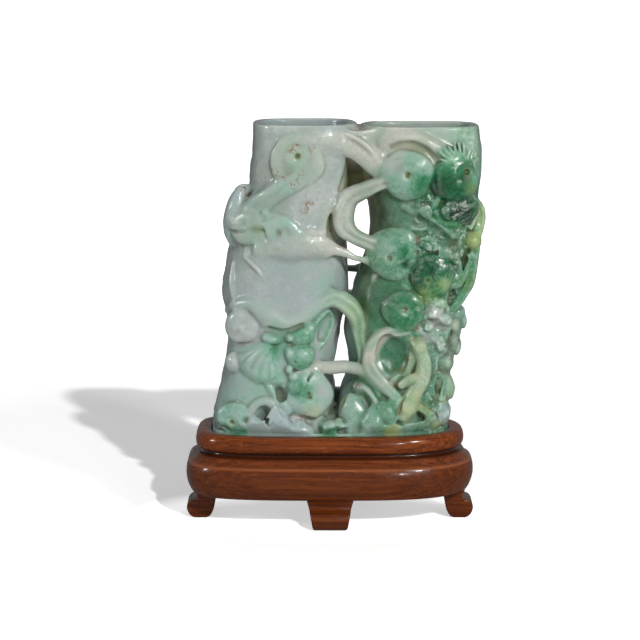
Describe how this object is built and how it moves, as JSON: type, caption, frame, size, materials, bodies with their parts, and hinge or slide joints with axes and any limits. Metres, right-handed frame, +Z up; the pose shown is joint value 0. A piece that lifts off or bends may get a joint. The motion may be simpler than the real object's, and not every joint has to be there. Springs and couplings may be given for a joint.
{
  "type": "jade double vase on a wooden stand",
  "caption": "Double vase carved in mottled green jade as two leaning hollow tree trunks with branches, whorls and rocks, resting in a polished hardwood stand with scroll feet.",
  "frame": {"origin": "bottom centre of the object's box, on the plane of the feet", "axes": "+Z up, -Y towards the carved front, +X to the viewer's right"},
  "size_m": [0.1406, 0.0728, 0.1866],
  "materials": {
    "jade": "high polish, translucent, mottled from lavender white to emerald",
    "hardwood": "polished reddish brown with fine grain"
  },
  "bodies": {
    "root": {"jade_vase": "jade", "wood_stand": "hardwood"}
  },
  "joints": []
}
